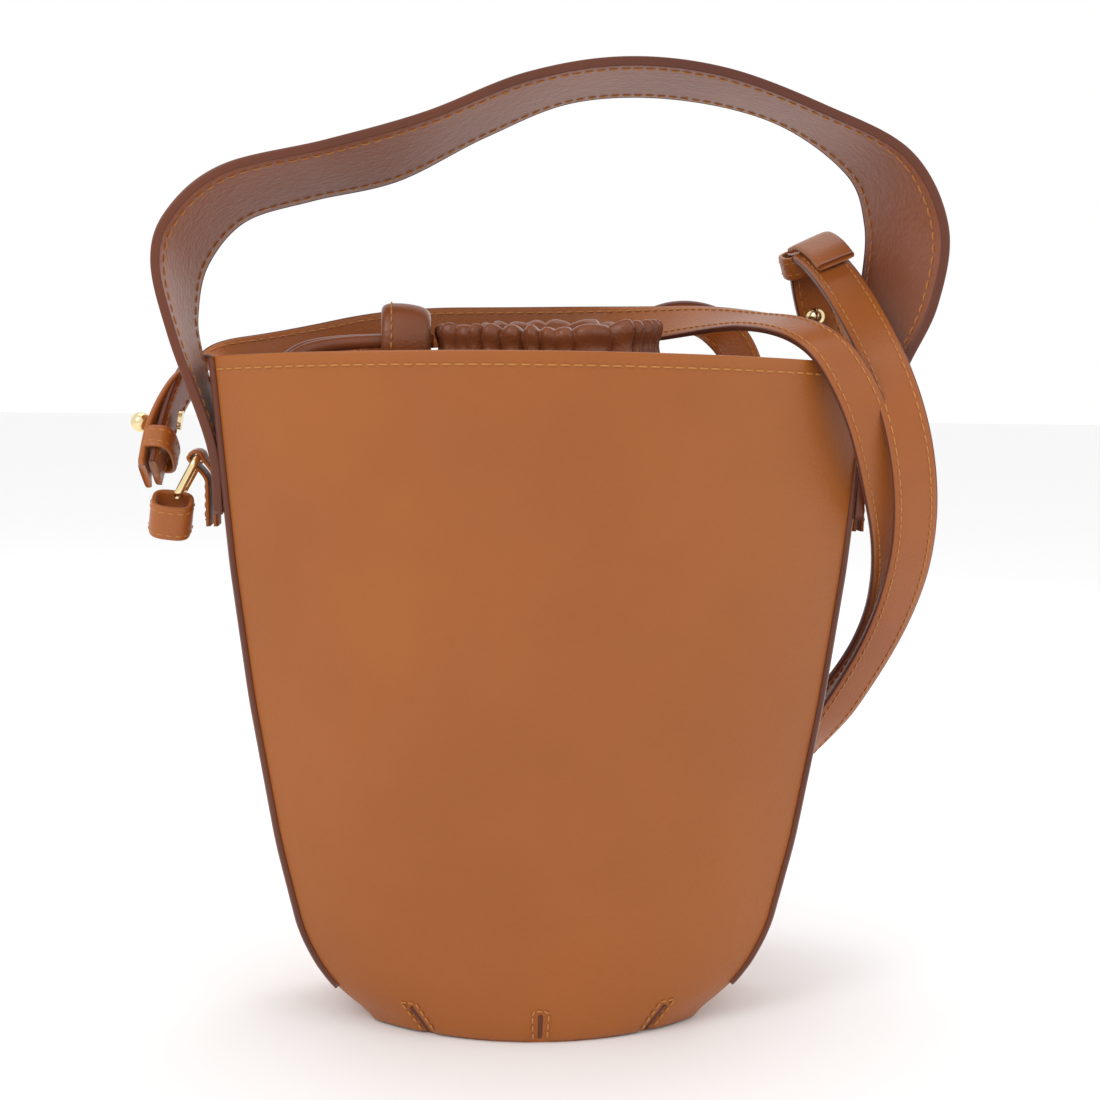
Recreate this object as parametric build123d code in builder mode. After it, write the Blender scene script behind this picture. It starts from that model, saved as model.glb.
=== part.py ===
from build123d import *
from math import pi, sqrt, tan
import os

os.makedirs("parts", exist_ok=True)

# Bucket bag in millimetres. X is the bag's width, -Y its front, +Z up.
# The origin is the centre of the flat base, which rests on z = 0.

# Bucket: half widths at the side panels and half depths at the middle, by height
level_heights = (0, 6, 16, 30, 60, 107, 150, 225)
level_half_widths = (50, 59, 69, 76.5, 84, 92.5, 98.5, 106)
base_half_depth = 45
rim_half_depth = 62
gusset_half_depth = 22
top_level = level_heights[-1]

leather_thickness = 1.6
lining_thickness = 0.8
facing_thickness = 1.2
layer_gap = 0.05

rim_corner_height = 216
rim_middle_height = 219.5
binding_half_width = 1.7
binding_stand_off = 1.1
binding_bottom = 12

dart_width = 2.0
dart_height = 9.0

# Handle band
handle_leather = 2.0
handle_lining_thickness = 1.6
handle_samples = 28
handle_stand_off = 1.9

# Drawstring top
skirt_thickness = 1.2
collar_half_width = 38
collar_half_depth = 27
collar_bottom = 208
collar_top = 230
collar_centre_x = 3
collar_thickness = 5

# Toggle and drawcords
cord_diameter = 4.5
cord_spacing = 6.5
toggle_left = -52
toggle_right = -36
toggle_height = 25
toggle_depth = 20
toggle_centre_z = 222
toggle_bore = 11.4

# Side rings, their tabs and the strap's ends
ring_inner_width = 16
ring_inner_height = 11
ring_wire = 2.6
loop_clearance = 0.2
tab_width = 14.5
tab_thickness = 1.6
ring_z = 183
stud_radius = 3.35
strap_width = 14
strap_thickness = 2.6
keeper_wall = 1.5
keeper_height = 8


def level_value(values, z):
    """Straight-line value at height z between the levels."""
    for low in range(len(level_heights) - 1):
        z_low = level_heights[low]
        z_high = level_heights[low + 1]
        if z <= z_high:
            share = (z - z_low) / (z_high - z_low)
            return values[low] + share * (values[low + 1] - values[low])
    return values[-1]


def half_width(z):
    return level_value(level_half_widths, z)


def half_depth(z):
    return base_half_depth + (rim_half_depth - base_half_depth) * z / top_level


def bucket(inset, bottom=0.0):
    """Solid bucket set in from the outer leather face, on z = bottom."""
    heights = [bottom] + [z for z in level_heights if z > bottom + 2]
    with BuildPart() as solid:
        for z in heights:
            width = half_width(z) - inset
            depth = half_depth(z) - inset
            side = gusset_half_depth - 0.45 * inset
            with BuildSketch(Plane.XY.offset(z)):
                with BuildLine():
                    ThreePointArc((-width, -side), (0, -depth), (width, -side))
                    Line((width, -side), (width, side))
                    ThreePointArc((width, side), (0, depth), (-width, side))
                    Line((-width, side), (-width, -side))
                make_face()
        loft(ruled=True)
    return solid.part


def rim_cutter(drop=0.0):
    """Everything above the arched rim."""
    reach = 130
    corner = rim_corner_height - drop
    middle = rim_middle_height - drop
    with BuildPart() as cutter:
        with BuildSketch(Plane.XZ.offset(-reach)):
            with BuildLine():
                ThreePointArc((-reach, corner - 1.8), (0, middle), (reach, corner - 1.8))
                Polyline((reach, corner - 1.8), (reach, 260), (-reach, 260), (-reach, corner - 1.8))
            make_face()
        extrude(amount=2 * reach)
    return cutter.part


outer_bucket = bucket(0)
inner_leather = bucket(leather_thickness)
above_rim = rim_cutter()


# Outer shell: front and back panels meet two straight gussets
def shell_piece(y_low, y_high, x_low, x_high):
    with BuildPart() as piece:
        add(outer_bucket)
        add(inner_leather, mode=Mode.SUBTRACT)
        add(above_rim, mode=Mode.SUBTRACT)
        with Locations(((x_low + x_high) / 2, (y_low + y_high) / 2, 0)):
            Box(x_high - x_low, y_high - y_low, 600, mode=Mode.INTERSECT)
    return piece.part


panel_dart_x = (-52, 0, 52)


def dart_cutter(side):
    """Open slits at the panel's lower edge, where the base is taken in."""
    with BuildPart() as slits:
        for x in panel_dart_x:
            with Locations((x, side * 50, 0)):
                Box(dart_width, 60, 2 * dart_height)
    return slits.part


with BuildPart() as front_panel:
    add(shell_piece(-90, -gusset_half_depth, -130, 130))
    add(dart_cutter(-1), mode=Mode.SUBTRACT)
front_panel.part.label = "front_panel"
export_step(front_panel.part, "parts/front_panel.step")

with BuildPart() as back_panel:
    add(shell_piece(gusset_half_depth, 90, -130, 130))
    add(dart_cutter(1), mode=Mode.SUBTRACT)
back_panel.part.label = "back_panel"
export_step(back_panel.part, "parts/back_panel.step")

with BuildPart() as left_gusset:
    add(shell_piece(-gusset_half_depth, gusset_half_depth, -130, 0))
left_gusset.part.label = "left_gusset"
export_step(left_gusset.part, "parts/left_gusset.step")

with BuildPart() as right_gusset:
    add(shell_piece(-gusset_half_depth, gusset_half_depth, 0, 130))
right_gusset.part.label = "right_gusset"
export_step(right_gusset.part, "parts/right_gusset.step")

# Base: leather panel, stiffening board and the sewn lining above them
board_thickness = 2.0
base_top = leather_thickness + layer_gap
board_top = base_top + board_thickness

with BuildPart() as base_panel:
    add(bucket(leather_thickness + layer_gap))
    with Locations((0, 0, leather_thickness / 2)):
        Box(300, 200, leather_thickness, mode=Mode.INTERSECT)
base_panel.part.label = "base_panel"
export_step(base_panel.part, "parts/base_panel.step")

with BuildPart() as base_board:
    add(bucket(leather_thickness + 1.0))
    with Locations((0, 0, base_top + board_thickness / 2)):
        Box(300, 200, board_thickness, mode=Mode.INTERSECT)
base_board.part.label = "base_board"
export_step(base_board.part, "parts/base_board.step")

lining_inset = leather_thickness + layer_gap
lining_bottom = board_top + layer_gap
facing_inset = lining_inset + lining_thickness + layer_gap
facing_height = 26

with BuildPart() as body_lining:
    add(bucket(lining_inset, lining_bottom))
    add(bucket(lining_inset + lining_thickness, lining_bottom + lining_thickness), mode=Mode.SUBTRACT)
    add(rim_cutter(1.0), mode=Mode.SUBTRACT)
body_lining.part.label = "body_lining"
export_step(body_lining.part, "parts/body_lining.step")

facing_bottom = rim_corner_height - facing_height
with BuildPart() as rim_facing:
    add(bucket(facing_inset))
    add(bucket(facing_inset + facing_thickness), mode=Mode.SUBTRACT)
    add(rim_cutter(0.4), mode=Mode.SUBTRACT)
    with Locations((0, 0, facing_bottom)):
        Box(300, 200, 400, align=(Align.CENTER, Align.CENTER, Align.MIN), mode=Mode.INTERSECT)
rim_facing.part.label = "rim_facing"
export_step(rim_facing.part, "parts/rim_facing.step")

# Edge bindings: a dark piped ridge over each of the four upright seams
binding_shell = bucket(-binding_stand_off)
for x_name, x_sign in (("left", -1), ("right", 1)):
    for y_name, y_sign in (("front", -1), ("back", 1)):
        with BuildPart() as edge_binding:
            add(binding_shell)
            add(outer_bucket, mode=Mode.SUBTRACT)
            add(above_rim, mode=Mode.SUBTRACT)
            with Locations((x_sign * 90, y_sign * (gusset_half_depth + 0.2), binding_bottom)):
                Box(90, 2 * binding_half_width, 400,
                    align=(Align.CENTER, Align.CENTER, Align.MIN), mode=Mode.INTERSECT)
        node_name = x_name + "_" + y_name + "_binding"
        edge_binding.part.label = node_name
        export_step(edge_binding.part, "parts/" + node_name + ".step")

# Handle: a wide two-layer band that leaves the gussets and arches over the bag.
# Its front edge and its back edge each follow their own curve, outer face first.
handle_root_z = 166
handle_root_x = half_width(handle_root_z) + handle_leather + handle_lining_thickness + handle_stand_off
handle_lap_z = 188
handle_lap_x = half_width(handle_lap_z) + handle_leather + handle_lining_thickness + handle_stand_off
front_edge = [
    (-handle_root_x, handle_root_z), (-handle_lap_x, handle_lap_z), (-118.6, 222), (-124, 246),
    (-118.6, 262), (-101.7, 275.8), (-69.7, 284.1), (-38.6, 293.4), (-7.4, 306.1), (24, 311.8),
    (55.8, 309.2), (88, 298.4), (116.5, 284.5), (129.5, 261), (127, 236), (117.5, 215),
    (handle_lap_x, handle_lap_z), (handle_root_x, handle_root_z)]
back_edge = [
    (-handle_root_x, handle_root_z), (-handle_lap_x, handle_lap_z), (-114.9, 216), (-116.4, 231),
    (-112.5, 248), (-99.3, 263.3), (-76, 271), (-47.8, 278), (-18.9, 293), (11.5, 305.4),
    (47, 307.2), (82, 299.7), (107.5, 282.6), (115, 264.5), (114.5, 244), (110.5, 216),
    (handle_lap_x, handle_lap_z), (handle_root_x, handle_root_z)]


def band_face(points, y, depth_from, depth_to):
    """One edge's outline at y, between two depths under the outer face."""
    outer_curve = Spline(*points, mode=Mode.PRIVATE)
    outer_points = []
    inner_points = []
    for step in range(handle_samples + 1):
        share = step / handle_samples
        place = outer_curve @ share
        along = outer_curve % share
        inward = Vector(along.Y, -along.X)
        outer_points.append(tuple(place + inward * depth_from)[:2])
        inner_points.append(tuple(place + inward * depth_to)[:2])
    with BuildSketch(Plane.XZ.offset(-y)) as outline:
        with BuildLine():
            Spline(*outer_points)
            Spline(*inner_points)
            Line(outer_points[0], inner_points[0])
            Line(outer_points[-1], inner_points[-1])
        make_face()
    return outline.sketch


def handle_layer(depth_from, depth_to):
    front_face = band_face(front_edge, -gusset_half_depth, depth_from, depth_to)
    back_face = band_face(back_edge, gusset_half_depth, depth_from, depth_to)
    with BuildPart() as layer:
        add(front_face)
        add(back_face)
        loft(ruled=True)
    return layer.part


with BuildPart() as handle_band:
    add(handle_layer(0, handle_leather))
handle_band.part.label = "handle_band"
export_step(handle_band.part, "parts/handle_band.step")

with BuildPart() as handle_lining:
    add(handle_layer(handle_leather + layer_gap, handle_leather + handle_lining_thickness))
handle_lining.part.label = "handle_lining"
export_step(handle_lining.part, "parts/handle_lining.step")


# Drawstring top: a soft skirt sewn to the rim facing, drawn into a thick collar
def ring_profile(z, width, depth, side, centre_x):
    """Two arcs front and back, joined by short straight sides."""
    left = centre_x - width
    right = centre_x + width
    with BuildSketch(Plane.XY.offset(z)) as profile:
        with BuildLine():
            ThreePointArc((left, -side), (centre_x, -depth), (right, -side))
            Line((right, -side), (right, side))
            ThreePointArc((right, side), (centre_x, depth), (left, side))
            Line((left, side), (left, -side))
        make_face()
    return profile.sketch


skirt_bottom = facing_bottom + 3
skirt_inset = facing_inset + facing_thickness + layer_gap
skirt_width = half_width(skirt_bottom) - skirt_inset - 0.6
skirt_depth = half_depth(skirt_bottom) - skirt_inset - 0.6
neck_side = 9


def skirt_funnel(inset):
    with BuildPart() as funnel:
        add(ring_profile(skirt_bottom, skirt_width - inset, skirt_depth - inset, 19 - inset, 0))
        add(ring_profile(skirt_bottom + 4, skirt_width - 1 - inset, skirt_depth - 1.5 - inset,
                         18 - inset, 0))
        add(ring_profile(skirt_bottom + 6, 70 - inset, 42 - inset, 14 - inset / 2, 1))
        add(ring_profile(collar_bottom, collar_half_width - inset, collar_half_depth - inset,
                         neck_side - inset / 3, collar_centre_x))
        loft(ruled=True)
    return funnel.part


with BuildPart() as drawstring_skirt:
    add(skirt_funnel(0))
    add(skirt_funnel(skirt_thickness), mode=Mode.SUBTRACT)
drawstring_skirt.part.label = "drawstring_skirt"
export_step(drawstring_skirt.part, "parts/drawstring_skirt.step")

with BuildPart() as drawstring_collar:
    add(ring_profile(collar_bottom + layer_gap, collar_half_width, collar_half_depth,
                     neck_side, collar_centre_x))
    extrude(amount=collar_top - collar_bottom)
    add(ring_profile(collar_bottom - 1, collar_half_width - collar_thickness,
                     collar_half_depth - collar_thickness, neck_side - 3, collar_centre_x))
    extrude(amount=collar_top - collar_bottom + 4, mode=Mode.SUBTRACT)
drawstring_collar.part.label = "drawstring_collar"
export_step(drawstring_collar.part, "parts/drawstring_collar.step")

# Toggle: a rolled leather barrel that slides along the two cords
with BuildPart() as toggle:
    with BuildSketch(Plane.YZ.offset(toggle_left)):
        with Locations((0, toggle_centre_z)):
            RectangleRounded(toggle_depth, toggle_height, 8)
        with Locations((-cord_spacing / 2, toggle_centre_z), (cord_spacing / 2, toggle_centre_z)):
            Circle(toggle_bore / 2 - 2, mode=Mode.SUBTRACT)
        with Locations((0, toggle_centre_z)):
            Rectangle(cord_spacing, toggle_bore - 4, mode=Mode.SUBTRACT)
    extrude(amount=toggle_right - toggle_left)
toggle.part.label = "toggle"
export_step(toggle.part, "parts/toggle.step")


# Cords: straight runs joined by the widest arcs that the runs allow
def arc_radii(points):
    """Radius at each inner corner: 0.45 of the shorter run over tan of half the turn."""
    radii = []
    for before, corner, after in zip(points, points[1:], points[2:]):
        run_in = Vector(*corner) - Vector(*before)
        run_out = Vector(*after) - Vector(*corner)
        half_turn = run_in.get_angle(run_out) * pi / 360
        radii.append(0.45 * min(run_in.length, run_out.length) / tan(half_turn))
    return radii


def cord_tube(points, diameter, name):
    radii = arc_radii(points)
    with BuildPart() as tube:
        with BuildLine() as route:
            FilletPolyline(*points, radius=radii)
        path = route.wires()[0]
        with BuildSketch(Plane(origin=path @ 0, z_dir=path % 0)):
            Circle(diameter / 2)
        sweep(path=path)
    expected = path.length * pi * diameter ** 2 / 4
    print(name, "radii", [round(r, 1) for r in radii], "length", round(path.length, 1),
          "volume", round(tube.part.volume), "expected", round(expected))
    return tube.part


cord_y = cord_spacing / 2
cord_start_x = collar_centre_x - collar_half_width - 0.1
front_cord_points = [
    (cord_start_x, -cord_y, toggle_centre_z), (-71, -cord_y - 1, 222), (-85, -13, 213),
    (-84, -26, 206.5), (-70, -34.5, 204.5), (-50, -40, 204.5)]
back_cord_points = [
    (cord_start_x, cord_y, toggle_centre_z), (-72, cord_y + 1, 222.5), (-87, 13, 214),
    (-85, 26, 207), (-71, 34.5, 205), (-52, 40.5, 205)]
for cord_name, cord_points in (("front_drawcord", front_cord_points),
                               ("back_drawcord", back_cord_points)):
    with BuildPart() as drawcord:
        add(cord_tube(cord_points, cord_diameter, cord_name))
    drawcord.part.label = cord_name
    export_step(drawcord.part, "parts/" + cord_name + ".step")

# Knots at the two free ends
knot_radius = 4.2
for knot_name, cord_points in (("front_knot", front_cord_points), ("back_knot", back_cord_points)):
    end = Vector(*cord_points[-1])
    heading = (end - Vector(*cord_points[-2])).normalized()
    centre = end + heading * (knot_radius + 0.1)
    with BuildPart() as knot:
        with Locations((centre.X, centre.Y, centre.Z)):
            Sphere(knot_radius)
    knot.part.label = knot_name
    export_step(knot.part, "parts/" + knot_name + ".step")

# Side rings hang in leather tabs that are sewn over the handle's ends
tab_inner_x = handle_lap_x + 0.3
tab_bottom = 163
tab_centre_x = tab_inner_x + tab_thickness + ring_wire / 2 + 0.25
ring_tilt = {"left": 28, "right": 62}
for x_name, x_sign in (("left", -1), ("right", 1)):
    eye_x = x_sign * tab_centre_x
    eye_outer = ring_wire / 2 + 0.25 + tab_thickness
    with BuildPart() as ring_tab:
        with BuildSketch(Plane.XZ.offset(tab_width / 2)):
            with Locations((eye_x, ring_z)):
                Circle(eye_outer)
            with Locations((x_sign * (tab_inner_x + tab_thickness / 2), (ring_z + tab_bottom) / 2)):
                Rectangle(tab_thickness, ring_z - tab_bottom)
            with Locations((x_sign * (tab_inner_x + 1.5 * tab_thickness), (ring_z + tab_bottom) / 2)):
                Rectangle(tab_thickness, ring_z - tab_bottom)
            with Locations((eye_x, ring_z)):
                Circle(ring_wire / 2 + 0.25, mode=Mode.SUBTRACT)
        extrude(amount=-tab_width)
    ring_tab.part.label = x_name + "_ring_tab"
    export_step(ring_tab.part, "parts/" + x_name + "_ring_tab.step")

    # A rectangular ring, drawn in the plane that hangs from the tab's eye
    hang = Plane(origin=(eye_x, 0, ring_z), x_dir=(0, x_sign, 0),
                 z_dir=Vector(x_sign, 0, 0).rotate(Axis.Y, -x_sign * ring_tilt[x_name]))
    half_span = (ring_inner_width + ring_wire) / 2
    drop = ring_inner_height + ring_wire
    with BuildPart() as ring:
        with BuildLine(hang) as ring_line:
            FilletPolyline((half_span, 0), (half_span, -drop), (-half_span, -drop), (-half_span, 0),
                           radius=2.2, close=True)
        ring_path = ring_line.wires()[0]
        with BuildSketch(Plane(origin=ring_path @ 0, z_dir=ring_path % 0)):
            Circle(ring_wire / 2)
        sweep(path=ring_path)
    ring.part.label = x_name + "_ring"
    export_step(ring.part, "parts/" + x_name + "_ring.step")

# Shoulder strap: one long free strap from the left ring round to the right ring
strap_section = strap_width * strap_thickness
strap_tube_diameter = round(2 * sqrt(strap_section / pi), 1)
strap_points = [
    (-125, -4, 178), (-121.5, 14, 203), (-113, 38, 214), (-86, 50, 218), (-48, 60, 227),
    (0, 65, 228), (38, 58, 229), (64, 18, 231), (84, -36, 228), (98, -42, 207),
    (106, -35, 186), (118, -10, 156), (121, 18, 126), (108, 44, 93), (88, 68, 64),
    (54, 74, 58), (30, 75, 84), (26, 75, 122), (31, 74, 160), (35, 72, 194),
    (36, 71, 219), (48, 69, 232.5), (66, 67, 232.5), (79, 63, 219.5), (83, 59, 190),
    (79, 57, 150), (68, 60, 114), (58, 62, 84), (62, 60, 58), (84, 55, 50),
    (101, 45, 74), (114, 26, 102), (122, 4, 130), (122, -22, 158), (116, -41, 186),
    (109, -40, 211), (103, -10, 236), (97, 16, 251)]
with BuildPart() as shoulder_strap:
    add(cord_tube(strap_points, strap_tube_diameter, "shoulder_strap"))
shoulder_strap.part.label = "shoulder_strap"
export_step(shoulder_strap.part, "parts/shoulder_strap.step")

# Doubled strap end at the right: it rises from the ring, past the stud, to the keeper
strap_end_points = [(124, 9, 187), (119, 34, 206), (99, 38, 229), (95, 31, 255)]
with BuildPart() as right_strap_end:
    add(cord_tube(strap_end_points, strap_tube_diameter, "right_strap_end"))
right_strap_end.part.label = "right_strap_end"
export_step(right_strap_end.part, "parts/right_strap_end.step")

# Strap loops: the strap's ends, folded round the outer bars of the rings
for x_name, x_sign in (("left", -1), ("right", 1)):
    eye = Vector(x_sign * tab_centre_x, 0, ring_z)
    bar = eye + Vector(0, 0, -drop).rotate(Axis.Y, -x_sign * ring_tilt[x_name])
    with BuildPart() as strap_loop:
        with BuildSketch(Plane.XZ.offset(strap_width / 2)):
            with Locations((bar.X, bar.Z)):
                Circle(ring_wire / 2 + loop_clearance + strap_thickness)
                Circle(ring_wire / 2 + loop_clearance, mode=Mode.SUBTRACT)
        extrude(amount=-strap_width)
    strap_loop.part.label = x_name + "_strap_loop"
    export_step(strap_loop.part, "parts/" + x_name + "_strap_loop.step")


# Keepers: leather bands round the doubled strap, free to slide along it
def keeper_band(run_start, run_end, share, facing):
    """A band whose wide sides face the given way."""
    start = Vector(*run_start)
    run = Vector(*run_end) - start
    middle = start + run * share
    across = facing.cross(run)
    section = Plane(origin=middle, x_dir=across, z_dir=run.normalized())
    clearance = strap_tube_diameter + 0.8
    with BuildPart() as band:
        with BuildSketch(section.offset(-keeper_height / 2)):
            RectangleRounded(strap_width + 2 * keeper_wall, clearance + 2 * keeper_wall, 2)
            RectangleRounded(strap_width, clearance, 1, mode=Mode.SUBTRACT)
        extrude(amount=keeper_height)
    return band.part


with BuildPart() as left_keeper:
    add(keeper_band(strap_points[0], strap_points[1], 0.3, Vector(-1, 0, 0)))
left_keeper.part.label = "left_keeper"
export_step(left_keeper.part, "parts/left_keeper.step")

with BuildPart() as right_keeper:
    add(keeper_band(strap_end_points[2], strap_end_points[3], 0.8, Vector(0, -1, 0)))
right_keeper.part.label = "right_keeper"
export_step(right_keeper.part, "parts/right_keeper.step")


# Studs: a ball head on a neck, screwed through the strap into a flat back
def stud_head(base, outward):
    neck_radius = 1.3
    neck_length = 2.2
    with BuildPart() as head:
        with BuildSketch(Plane(origin=base, z_dir=outward)):
            Circle(neck_radius)
        extrude(amount=neck_length + stud_radius)
        centre = Vector(*base) + Vector(*outward).normalized() * (neck_length + stud_radius * 0.9)
        with Locations((centre.X, centre.Y, centre.Z)):
            Sphere(stud_radius)
    return head.part


def stud_screw(base, outward):
    with BuildPart() as screw:
        with BuildSketch(Plane(origin=base, z_dir=outward)):
            Circle(3.4)
        extrude(amount=1.2)
    return screw.part


strap_tube_radius = strap_tube_diameter / 2
stud_places = {
    "left": (Vector(-122.7, 8.6, 195.3), Vector(-1, 0, 0.14)),
    "right": (Vector(98.6, 37.5, 232.5), Vector(-0.05, -1, 0))}
for side_name, (middle, outward) in stud_places.items():
    lift = outward.normalized() * (strap_tube_radius + 0.4)
    with BuildPart() as stud:
        add(stud_head(middle + lift, outward))
    stud.part.label = side_name + "_stud"
    export_step(stud.part, "parts/" + side_name + "_stud.step")
    with BuildPart() as back_screw:
        add(stud_screw(middle - lift, -outward))
    back_screw.part.label = side_name + "_stud_screw"
    export_step(back_screw.part, "parts/" + side_name + "_stud_screw.step")
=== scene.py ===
import math

import bpy
import numpy as np
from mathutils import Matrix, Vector


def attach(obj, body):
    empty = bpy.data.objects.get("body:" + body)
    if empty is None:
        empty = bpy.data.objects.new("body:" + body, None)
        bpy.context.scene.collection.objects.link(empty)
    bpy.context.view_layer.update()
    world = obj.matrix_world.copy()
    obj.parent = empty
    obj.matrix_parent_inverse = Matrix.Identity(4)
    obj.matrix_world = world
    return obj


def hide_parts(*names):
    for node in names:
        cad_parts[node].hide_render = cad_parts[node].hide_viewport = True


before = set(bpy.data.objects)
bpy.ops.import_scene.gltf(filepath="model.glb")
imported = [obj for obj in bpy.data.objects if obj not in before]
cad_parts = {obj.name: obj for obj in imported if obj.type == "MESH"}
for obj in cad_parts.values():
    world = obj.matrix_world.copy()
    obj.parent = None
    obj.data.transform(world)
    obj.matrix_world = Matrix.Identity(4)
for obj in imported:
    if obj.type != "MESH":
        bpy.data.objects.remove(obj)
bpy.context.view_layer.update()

MM = 0.001

# ---------------------------------------------------------------- dimensions, in millimetres
LEVELS = (0, 6, 16, 30, 60, 107, 150, 225)
HALF_WIDTHS = (50, 59, 69, 76.5, 84, 92.5, 98.5, 106)
BASE_DEPTH = 45
RIM_DEPTH = 62
SIDE = 22
RIM_CORNER = 216.2
RIM_MIDDLE = 219.3
LEATHER = 1.6
STRAP_WIDTH = 14
STRAP_THICKNESS = 2.6
HANDLE_THICKNESS = 2.8


# ---------------------------------------------------------------- materials
def new_material(name, color, roughness=0.5, metallic=0.0):
    material = bpy.data.materials.new(name)
    material.use_nodes = True
    shader = material.node_tree.nodes["Principled BSDF"]
    shader.inputs["Base Color"].default_value = (*color, 1)
    shader.inputs["Roughness"].default_value = roughness
    shader.inputs["Metallic"].default_value = metallic
    return material, material.node_tree, shader


def add_noise(tree, coords, scale, detail=3.0, kind="ShaderNodeTexNoise"):
    noise = tree.nodes.new(kind)
    noise.inputs["Scale"].default_value = scale
    if kind == "ShaderNodeTexNoise":
        noise.inputs["Detail"].default_value = detail
    tree.links.new(coords.outputs["Object"], noise.inputs["Vector"])
    return noise


def leather(name, light, dark, roughness=0.42, grain=0.10, grain_scale=900, crease=0.0, sheen=0.1):
    """Leather: slow colour drift, fine pebble grain and faint creases."""
    material, tree, shader = new_material(name, light, roughness)
    coords = tree.nodes.new("ShaderNodeTexCoord")
    drift = add_noise(tree, coords, 14, 4)
    ramp = tree.nodes.new("ShaderNodeValToRGB")
    ramp.color_ramp.elements[0].position = 0.34
    ramp.color_ramp.elements[0].color = (*dark, 1)
    ramp.color_ramp.elements[1].position = 0.62
    ramp.color_ramp.elements[1].color = (*light, 1)
    tree.links.new(drift.outputs["Fac"], ramp.inputs["Fac"])
    tree.links.new(ramp.outputs["Color"], shader.inputs["Base Color"])
    pebbles = add_noise(tree, coords, grain_scale, kind="ShaderNodeTexVoronoi")
    fine = add_noise(tree, coords, 260, 6)
    bump = tree.nodes.new("ShaderNodeBump")
    bump.inputs["Strength"].default_value = grain
    bump.inputs["Distance"].default_value = 0.0004
    tree.links.new(pebbles.outputs["Distance"], bump.inputs["Height"])
    second = tree.nodes.new("ShaderNodeBump")
    second.inputs["Strength"].default_value = 0.12 + crease
    second.inputs["Distance"].default_value = 0.0006
    tree.links.new(fine.outputs["Fac"], second.inputs["Height"])
    tree.links.new(bump.outputs["Normal"], second.inputs["Normal"])
    tree.links.new(second.outputs["Normal"], shader.inputs["Normal"])
    shader.inputs["Specular IOR Level"].default_value = 0.42
    shader.inputs["Sheen Weight"].default_value = sheen
    shader.inputs["Sheen Roughness"].default_value = 0.4
    return material


TAN = leather("tan_leather", (0.330, 0.091, 0.0085), (0.300, 0.081, 0.0080), 0.40, 0.22, 1100)
TAN_STRAP = leather("strap_leather", (0.345, 0.098, 0.014), (0.285, 0.076, 0.012), 0.38, 0.18, 1100)
INNER = leather("inner_leather", (0.290, 0.092, 0.040), (0.235, 0.068, 0.026), 0.48, 0.3, 600, 0.35)
SOFT = leather("soft_leather", (0.225, 0.062, 0.018), (0.160, 0.040, 0.011), 0.36, 0.2, 900, 0.25)
CORD = leather("cord_leather", (0.215, 0.058, 0.018), (0.150, 0.038, 0.011), 0.38)
EDGE = leather("edge_binding", (0.125, 0.028, 0.008), (0.090, 0.019, 0.006), 0.34, 0.05)
THREAD, thread_tree, thread_shader = new_material("thread", (0.46, 0.18, 0.035), 0.6)
thread_coords = thread_tree.nodes.new("ShaderNodeTexCoord")
thread_wave = add_noise(thread_tree, thread_coords, 1500, 2)
thread_bump = thread_tree.nodes.new("ShaderNodeBump")
thread_bump.inputs["Strength"].default_value = 0.4
thread_bump.inputs["Distance"].default_value = 0.0002
thread_tree.links.new(thread_wave.outputs["Fac"], thread_bump.inputs["Height"])
thread_tree.links.new(thread_bump.outputs["Normal"], thread_shader.inputs["Normal"])
GOLD, gold_tree, gold_shader = new_material("gold_metal", (0.83, 0.68, 0.38), 0.16, 1.0)
gold_coords = gold_tree.nodes.new("ShaderNodeTexCoord")
gold_noise = add_noise(gold_tree, gold_coords, 400, 3)
gold_range = gold_tree.nodes.new("ShaderNodeMapRange")
gold_range.inputs["To Min"].default_value = 0.10
gold_range.inputs["To Max"].default_value = 0.24
gold_tree.links.new(gold_noise.outputs["Fac"], gold_range.inputs["Value"])
gold_tree.links.new(gold_range.outputs["Result"], gold_shader.inputs["Roughness"])
LINING = leather("lining_cloth", (0.45, 0.30, 0.18), (0.40, 0.26, 0.15), 0.8, 0.3, 1600)
BOARD = leather("board", (0.30, 0.24, 0.18), (0.25, 0.20, 0.15), 0.8)

CAD_LOOKS = {
    "base_panel": TAN, "base_board": BOARD, "body_lining": LINING, "rim_facing": INNER}


def coat(node, look):
    """Gives a node that keeps its CAD shape its material."""
    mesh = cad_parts[node].data
    mesh.materials.clear()
    mesh.materials.append(look)
    return mesh


for node, look in CAD_LOOKS.items():
    coat(node, look)


# ---------------------------------------------------------------- mesh helpers
def unit(vectors):
    vectors = np.asarray(vectors, float)
    length = np.linalg.norm(vectors, axis=-1, keepdims=True)
    return vectors / np.maximum(length, 1e-9)


def mesh_object(name, verts, faces, material, smooth=True):
    """A mesh from points in millimetres."""
    mesh = bpy.data.meshes.new(name)
    mesh.from_pydata([tuple(v) for v in np.asarray(verts) * MM], [], faces)
    mesh.validate()
    mesh.update()
    mesh.materials.append(material)
    for polygon in mesh.polygons:
        polygon.use_smooth = smooth
    obj = bpy.data.objects.new(name, mesh)
    bpy.context.scene.collection.objects.link(obj)
    return obj


def grid_faces(rows, columns, wrap=False):
    faces = []
    for row in range(rows - 1):
        for column in range(columns if wrap else columns - 1):
            after = (column + 1) % columns
            faces.append((row * columns + column, row * columns + after,
                          (row + 1) * columns + after, (row + 1) * columns + column))
    return faces


def closed_grid_faces(rows, columns):
    """Faces of a grid that is closed both ways."""
    last = (rows - 1) * columns
    faces = grid_faces(rows, columns, wrap=True)
    return faces + [(last + k, last + (k + 1) % columns, (k + 1) % columns, k) for k in range(columns)]


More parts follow.
